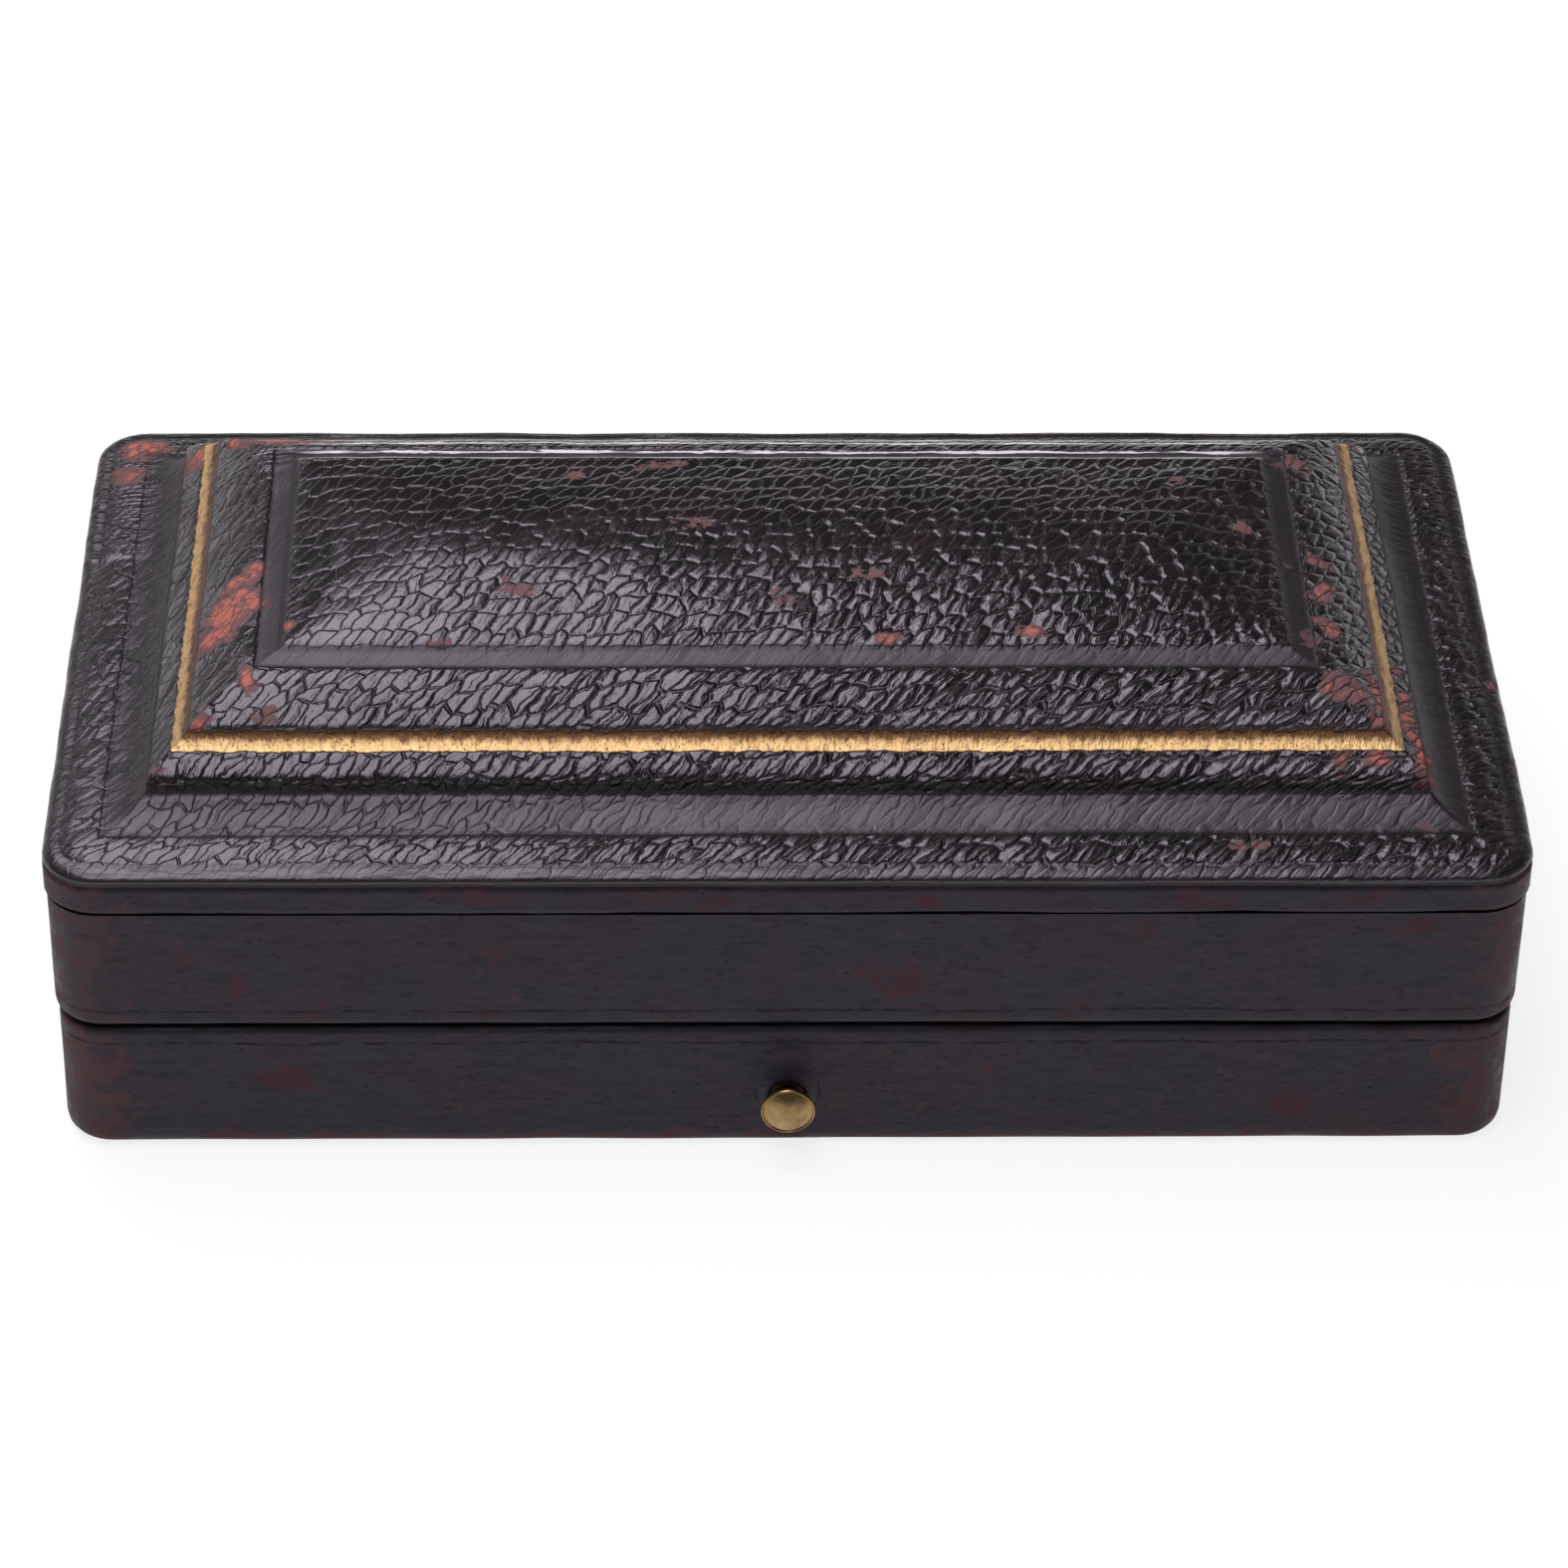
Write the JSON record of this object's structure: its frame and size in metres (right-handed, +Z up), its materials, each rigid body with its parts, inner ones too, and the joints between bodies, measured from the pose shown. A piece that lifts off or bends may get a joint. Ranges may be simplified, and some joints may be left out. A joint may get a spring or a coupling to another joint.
{
  "type": "presentation box",
  "caption": "Leather-covered wooden presentation box with a moulded hinged lid, a gilt line, a push-button catch and a lined interior.",
  "frame": {"origin": "centre of the underside, on the surface that the box stands on", "axes": "+X along the box to the right of someone facing the button, +Y from the button to the hinge, +Z up"},
  "size_m": [0.102, 0.0597, 0.0334],
  "materials": {
    "leather": "brown-black goatskin with a pressed pebble grain, polished walls and red-brown wear",
    "wood": "plain softwood, covered",
    "brass": "aged, worn bright at the rim",
    "velvet": "short-pile velvet",
    "satin": "ivory silk satin",
    "card": "grey pulp card",
    "lining_paper": "dark grained paper"
  },
  "bodies": {
    "base": {"base_bottom_board": "wood", "base_front_rail": "wood", "base_back_rail": "wood", "base_left_rail": "wood", "base_right_rail": "wood", "base_leather_cover": "leather", "base_underside_sheet": "lining_paper", "lip_front": "velvet", "lip_back": "velvet", "lip_left": "velvet", "lip_right": "velvet", "insert_card": "card", "recess_floor": "velvet", "insert_frame": "velvet", "button_bush": "brass", "catch_spring": "brass", "spring_pin_1": "brass", "spring_pin_2": "brass", "hinge_base_leaf": "brass", "hinge_base_nail_1": "brass", "hinge_base_nail_2": "brass", "hinge_base_nail_3": "brass", "hinge_pin": "brass"},
    "lid": {"lid_top_board": "wood", "lid_front_rail": "wood", "lid_back_rail": "wood", "lid_left_rail": "wood", "lid_right_rail": "wood", "lid_top_leather": "leather", "lid_side_leather": "leather", "lid_lining_front": "satin", "lid_lining_back": "satin", "lid_lining_left": "satin", "lid_lining_right": "satin", "lid_pad_card": "card", "lid_satin_pad": "satin", "strike_plate": "brass", "strike_pin_left": "brass", "strike_pin_right": "brass", "hinge_lid_leaf": "brass", "hinge_lid_nail_1": "brass", "hinge_lid_nail_2": "brass", "hinge_lid_nail_3": "brass"},
    "button": {"push_button": "brass"}
  },
  "joints": [
    {"name": "lid_hinge", "type": "hinge", "parent": "base", "child": "lid", "pos_m": [0, 0.02785, 0.01075], "axis": [-1, 0, 0], "range_deg": [0, 100]},
    {"name": "button_press", "type": "slide", "parent": "base", "child": "button", "axis": [0, 1, 0], "range_m": [0, 0.0011], "stiffness_N_per_m": 600, "deforming": ["catch_spring"]}
  ]
}
